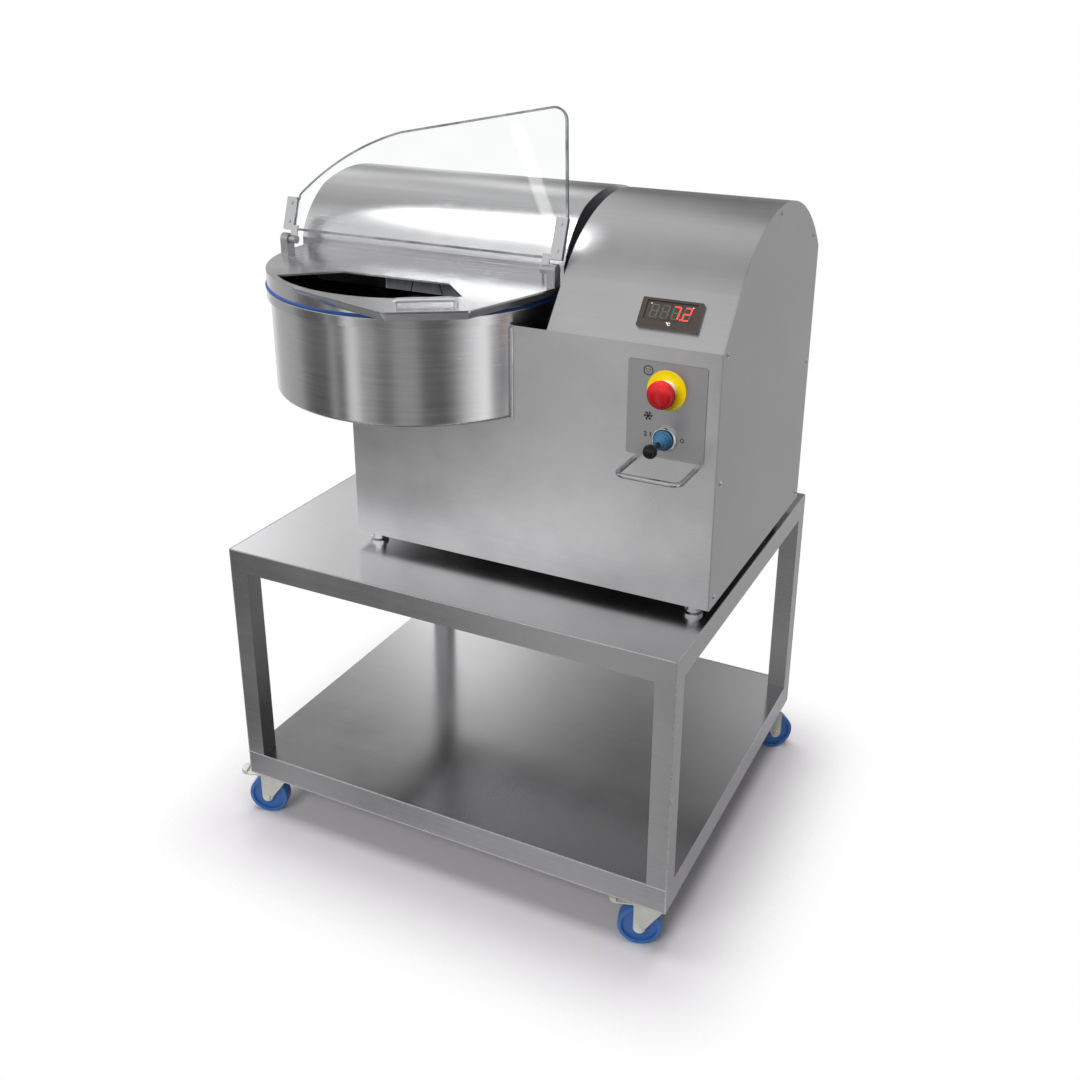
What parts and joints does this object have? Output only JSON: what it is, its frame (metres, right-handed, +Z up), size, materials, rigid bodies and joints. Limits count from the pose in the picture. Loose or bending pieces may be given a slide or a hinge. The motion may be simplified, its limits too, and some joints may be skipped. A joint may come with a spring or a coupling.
{
  "type": "bowl cutter",
  "caption": "Meat bowl cutter on a wheeled stand: a turning ring-shaped bowl, sickle knives under a hinged lid with a clear flap, a drive housing and a front control panel.",
  "frame": {"origin": "floor level, under the middle of the overall bounding box", "axes": "+Z up; the operator and the controls are on the -Y side; the drive housing is on the +X side, the bowl on the -X side"},
  "size_m": [0.8949, 0.769, 1.3251],
  "materials": {
    "stand_steel": "satin stainless tube and sheet",
    "casing_steel": "vertically brushed stainless sheet",
    "bowl_steel": "turned stainless",
    "lid_steel": "satin stainless sheet",
    "machined_steel": "machined",
    "blade_steel": "ground and polished",
    "cast_frame": "painted casting",
    "belt": "dull",
    "seal": "matte blue",
    "boot": "matte blue",
    "clear_flap": "clear plastic sheet",
    "probe": "polished",
    "fittings": "bright",
    "gland": "dark grey",
    "stop_disc": "yellow",
    "stop_button": "red",
    "lever": "black",
    "display": "dark",
    "caster_steel": "light grey zinc",
    "wheel": "blue"
  },
  "bodies": {
    "machine": {"trolley_frame": "stand_steel", "table_top": "stand_steel", "shelf": "stand_steel", "main_casing": "casing_steel", "deck_plate": "casing_steel", "drive_cover": "casing_steel", "right_side_panel": "casing_steel", "control_plate": "casing_steel", "base_plate": "casing_steel", "bowl_surround": "bowl_steel", "lid_hinge_blocks": "lid_steel", "ball_bearings": "machined_steel", "bearing_arm": "machined_steel", "bowl_bearing_housing": "cast_frame", "drive_frame": "cast_frame", "knife_motor": "cast_frame", "bowl_gearmotor": "cast_frame", "knife_belt": "belt", "guard_bar": "fittings", "lever_ring": "fittings", "estop_collar": "fittings", "panel_screws": "fittings", "machine_feet": "fittings", "cable_gland": "gland", "estop_disc": "stop_disc", "display_bezel": "display", "caster_plates": "caster_steel"},
    "bowl": {"bowl": "bowl_steel", "bowl_spindle": "machined_steel"},
    "knife_head": {"knife_shaft": "machined_steel", "knife_shaft_pulley": "cast_frame", "knife_blade_1": "blade_steel", "knife_blade_2": "blade_steel", "knife_blade_3": "blade_steel", "knife_spacers": "machined_steel", "knife_nut": "machined_steel"},
    "motor_rotor": {"motor_pulley": "cast_frame"},
    "lid": {"lid_plate": "lid_steel", "knife_hood": "lid_steel", "lid_seal": "seal", "lid_baffle": "lid_steel", "lid_grip": "lid_steel", "lid_hinge_arms": "lid_steel", "flap_posts": "lid_steel", "temperature_probe": "probe"},
    "flap": {"flap": "clear_flap", "flap_brackets": "lid_steel"},
    "stop_button": {"estop_button": "stop_button"},
    "lever": {"switch_lever": "lever", "lever_boot": "boot"},
    "swivel_front_left": {"caster_fork_front_left": "caster_steel"},
    "wheel_front_left": {"caster_wheel_front_left": "wheel"},
    "swivel_front_right": {"caster_fork_front_right": "caster_steel"},
    "wheel_front_right": {"caster_wheel_front_right": "wheel"},
    "swivel_rear_left": {"caster_fork_rear_left": "caster_steel"},
    "wheel_rear_left": {"caster_wheel_rear_left": "wheel"},
    "swivel_rear_right": {"caster_fork_rear_right": "caster_steel"},
    "wheel_rear_right": {"caster_wheel_rear_right": "wheel"},
    "pedal_front_left": {"brake_pedal_front_left": "caster_steel"},
    "pedal_front_right": {"brake_pedal_front_right": "caster_steel"}
  },
  "joints": [
    {"name": "bowl_spin", "type": "hinge", "parent": "machine", "child": "bowl", "pos_m": [-0.1456, -0.0734, 1.032], "axis": [0, 0, 1], "continuous": true},
    {"name": "knife_spin", "type": "hinge", "parent": "machine", "child": "knife_head", "pos_m": [-0.1456, 0.0576, 1.062], "axis": [1, 0, 0], "continuous": true},
    {"name": "motor_spin", "type": "hinge", "parent": "machine", "child": "motor_rotor", "pos_m": [0.3909, 0.0576, 0.72], "axis": [1, 0, 0], "continuous": true},
    {"name": "lid_tilt", "type": "hinge", "parent": "machine", "child": "lid", "pos_m": [-0.1456, 0.2966, 1.062], "axis": [-1, 0, 0], "range_deg": [0, 85]},
    {"name": "flap_fold", "type": "hinge", "parent": "lid", "child": "flap", "pos_m": [-0.1456, -0.1334, 1.088], "axis": [1, 0, 0], "range_deg": [0, 113]},
    {"name": "stop_push", "type": "slide", "parent": "machine", "child": "stop_button", "axis": [0, 1, 0], "range_m": [0, 0.005], "stiffness_N_per_m": 400},
    {"name": "lever_tilt", "type": "hinge", "parent": "machine", "child": "lever", "pos_m": [0.3464, -0.1979, 0.865], "axis": [0, 0, 1], "range_deg": [-12, 12]},
    {"name": "swivel_turn_front_left", "type": "hinge", "parent": "machine", "child": "swivel_front_left", "pos_m": [-0.3761, -0.2854, 0.0875], "axis": [0, 0, 1], "continuous": true},
    {"name": "wheel_spin_front_left", "type": "hinge", "parent": "swivel_front_left", "child": "wheel_front_left", "pos_m": [-0.39618, -0.29154, 0.0375], "axis": [-0.2924, 0.9563, 0], "continuous": true},
    {"name": "brake_press_front_left", "type": "hinge", "parent": "swivel_front_left", "child": "pedal_front_left", "pos_m": [-0.40288, -0.29359, 0.081], "axis": [0.2924, -0.9563, 0], "range_deg": [0, 14]},
    {"name": "swivel_turn_front_right", "type": "hinge", "parent": "machine", "child": "swivel_front_right", "pos_m": [0.3959, -0.2854, 0.0875], "axis": [0, 0, 1], "continuous": true},
    {"name": "wheel_spin_front_right", "type": "hinge", "parent": "swivel_front_right", "child": "wheel_front_right", "pos_m": [0.37582, -0.29154, 0.0375], "axis": [-0.2924, 0.9563, 0], "continuous": true},
    {"name": "brake_press_front_right", "type": "hinge", "parent": "swivel_front_right", "child": "pedal_front_right", "pos_m": [0.36912, -0.29359, 0.081], "axis": [0.2924, -0.9563, 0], "range_deg": [0, 14]},
    {"name": "swivel_turn_rear_left", "type": "hinge", "parent": "machine", "child": "swivel_rear_left", "pos_m": [-0.3761, 0.3386, 0.0875], "axis": [0, 0, 1], "continuous": true},
    {"name": "wheel_spin_rear_left", "type": "hinge", "parent": "swivel_rear_left", "child": "wheel_rear_left", "pos_m": [-0.36001, 0.3521, 0.0375], "axis": [0.6428, -0.766, 0], "continuous": true},
    {"name": "swivel_turn_rear_right", "type": "hinge", "parent": "machine", "child": "swivel_rear_right", "pos_m": [0.3959, 0.3386, 0.0875], "axis": [0, 0, 1], "continuous": true},
    {"name": "wheel_spin_rear_right", "type": "hinge", "parent": "swivel_rear_right", "child": "wheel_rear_right", "pos_m": [0.41199, 0.3521, 0.0375], "axis": [0.6428, -0.766, 0], "continuous": true}
  ],
  "couplings": [
    {"joint": "motor_spin", "follows": "knife_spin", "ratio": 0.7325}
  ]
}
